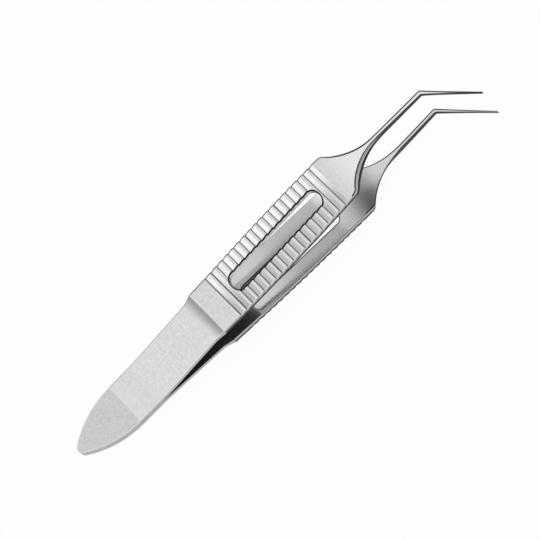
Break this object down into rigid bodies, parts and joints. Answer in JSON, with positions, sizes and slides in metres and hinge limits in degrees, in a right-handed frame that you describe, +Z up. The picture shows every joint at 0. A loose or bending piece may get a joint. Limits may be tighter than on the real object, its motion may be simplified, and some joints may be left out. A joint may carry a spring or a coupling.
{
  "type": "suture tying forceps",
  "caption": "Angled tying forceps: sprung steel arms welded at a pointed butt, with slotted, cross-grooved handles and slim bent tips that grip fine suture.",
  "frame": {"origin": "under the middle of the forceps' box, on the surface that the lower handle lies on", "axes": "+X along the length towards the tips, -Y the side that the tips are bent to, +Z up, out of the lower handle's grooved face towards the upper arm"},
  "size_m": [0.085, 0.0128, 0.0102],
  "materials": {
    "butt_steel": "matte ground stainless steel",
    "arm_steel": "satin stainless steel with polished edges"
  },
  "bodies": {
    "butt": {"welded_butt": "butt_steel"},
    "upper": {"upper_arm": "arm_steel"},
    "lower": {"lower_arm": "arm_steel"}
  },
  "joints": [
    {"name": "upper_arm_flex", "type": "hinge", "parent": "butt", "child": "upper", "pos_m": [-0.02697, 0.00166, 0.002], "axis": [0, 1, 0], "range_deg": [0, 3.28], "stiffness_Nm_per_rad": 0.37},
    {"name": "lower_arm_flex", "type": "hinge", "parent": "butt", "child": "lower", "pos_m": [-0.02697, 0.00166, 0.002], "axis": [0, -1, 0], "range_deg": [0, 3.28], "stiffness_Nm_per_rad": 0.37}
  ]
}
